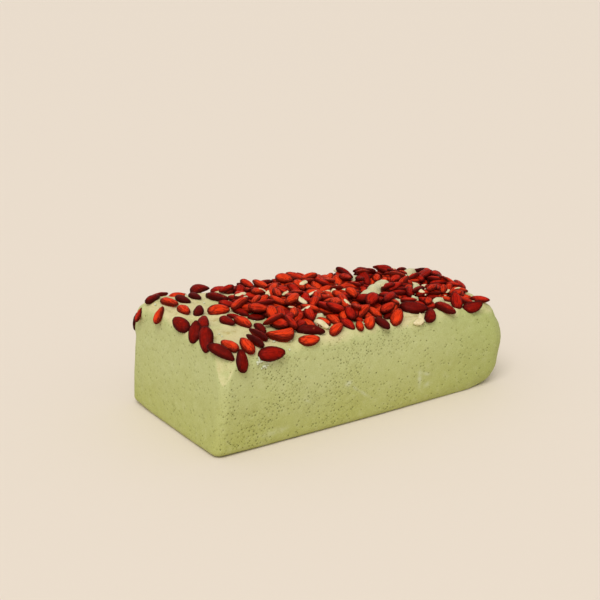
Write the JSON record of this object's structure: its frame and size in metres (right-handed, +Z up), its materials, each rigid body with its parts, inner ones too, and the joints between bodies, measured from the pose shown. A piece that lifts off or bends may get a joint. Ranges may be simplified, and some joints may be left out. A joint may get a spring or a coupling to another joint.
{
  "type": "almond halva loaf",
  "caption": "Long moulded loaf of pale pistachio-green halva on a flat base, its top thickly covered with whole red-brown almonds.",
  "frame": {"origin": "middle of the bounding box at the flat base", "axes": "+X along the loaf from its near end to its far end, +Y across it from its long front to its back, +Z up"},
  "size_m": [0.3325, 0.17, 0.1082],
  "materials": {
    "halva": "dense pale green sesame and pistachio paste, dull, with fine pores and faint mottling",
    "almond_skin": "whole almonds in their skins, red-orange to dark maroon, finely ridged, softly glossy",
    "almond_kernel": "bare cream almond kernel, satin"
  },
  "bodies": {
    "root": {"halva_loaf": "halva", "almond_heap": "almond_skin", "almond_01": "almond_skin", "almond_02": "almond_skin", "almond_03": "almond_skin", "almond_04": "almond_skin", "almond_05": "almond_skin", "almond_06": "almond_skin", "almond_07": "almond_skin", "almond_08": "almond_skin", "almond_09": "almond_skin", "almond_10": "almond_skin", "almond_11": "almond_skin", "almond_12": "almond_skin", "almond_13": "almond_skin", "almond_14": "almond_skin", "almond_15": "almond_skin", "almond_16": "almond_skin", "almond_17": "almond_skin", "almond_18": "almond_skin", "almond_19": "almond_skin", "almond_20": "almond_skin", "almond_21": "almond_skin", "almond_22": "almond_skin", "almond_23": "almond_skin", "almond_24": "almond_skin", "almond_25": "almond_skin", "almond_26": "almond_skin", "almond_27": "almond_skin", "almond_28": "almond_skin", "almond_29": "almond_skin", "almond_30": "almond_skin", "almond_31": "almond_skin", "almond_32": "almond_skin", "almond_33": "almond_skin", "almond_34": "almond_skin", "almond_35": "almond_skin", "almond_36": "almond_skin", "almond_37": "almond_skin", "almond_38": "almond_skin", "almond_39": "almond_skin", "almond_40": "almond_skin", "almond_41": "almond_skin", "almond_42": "almond_skin", "almond_43": "almond_skin", "almond_44": "almond_skin", "almond_45": "almond_skin", "almond_46": "almond_skin", "almond_47": "almond_skin", "almond_48": "almond_skin", "almond_49": "almond_skin", "almond_50": "almond_skin", "almond_51": "almond_skin", "almond_52": "almond_skin", "almond_53": "almond_skin", "almond_54": "almond_skin", "almond_55": "almond_skin", "kernel_1": "almond_kernel", "kernel_2": "almond_kernel"}
  },
  "joints": []
}
